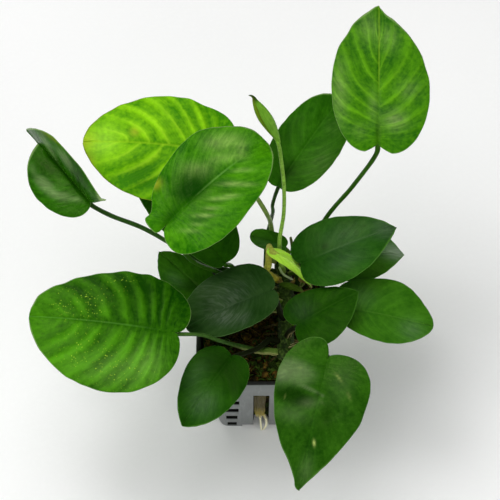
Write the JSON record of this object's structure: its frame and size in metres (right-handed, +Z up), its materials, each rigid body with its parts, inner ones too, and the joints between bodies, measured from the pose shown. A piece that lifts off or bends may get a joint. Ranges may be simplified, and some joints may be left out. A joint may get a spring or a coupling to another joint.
{
  "type": "potted anubias plant",
  "caption": "Young broad-leaved anubias rooted in a small square net pot: glossy heart-shaped leaves on long stems from a creeping rhizome over a fibrous plug.",
  "frame": {"origin": "on the surface that the pot stands on, under the middle of the pot's base", "axes": "+Z up, +X to the right and -Y to the front as the picture shows the pot; the rhizome runs along Y with its growing tip at +Y"},
  "size_m": [0.1526, 0.166, 0.1546],
  "materials": {
    "pot_plastic": "satin",
    "growing_plug": "matte",
    "rhizome_bark": "matte",
    "root": "matte",
    "leaf_lime": "satin",
    "leaf_bright": "satin",
    "leaf_middle": "satin",
    "leaf_dark": "gloss",
    "leaf_dusky": "gloss",
    "stem_green": "satin",
    "stem_pale": "satin",
    "stem_dark": "satin",
    "sheath_dry": "matte"
  },
  "bodies": {
    "root": {"pot": "pot_plastic", "growing_medium": "growing_plug", "rhizome": "rhizome_bark", "roots": "root", "leaf_01": "leaf_bright", "leaf_02": "leaf_dark", "leaf_03": "leaf_lime", "leaf_04": "leaf_bright", "leaf_05": "leaf_dark", "leaf_06": "leaf_middle", "leaf_07": "leaf_dark", "leaf_08": "leaf_dusky", "leaf_09": "leaf_dark", "leaf_10": "leaf_dark", "leaf_11": "leaf_dark", "leaf_12": "leaf_middle", "leaf_13": "leaf_dark", "leaf_14": "leaf_dark", "leaf_15": "leaf_bright", "leaf_16": "leaf_middle", "stem_01": "stem_green", "stem_02": "stem_dark", "stem_03": "stem_pale", "stem_04": "stem_green", "stem_05": "stem_dark", "stem_06": "stem_green", "stem_07": "stem_green", "stem_08": "stem_green", "stem_09": "stem_green", "stem_10": "stem_green", "stem_11": "stem_green", "stem_12": "stem_green", "stem_13": "stem_green", "stem_14": "stem_green", "stem_15": "stem_pale", "stem_16": "stem_green", "leaf_young": "leaf_lime", "stem_young": "sheath_dry", "leaf_spear": "leaf_lime", "stem_spear": "stem_pale", "stub": "stem_dark", "sheath_left": "sheath_dry", "sheath_brown": "sheath_dry"}
  },
  "joints": []
}
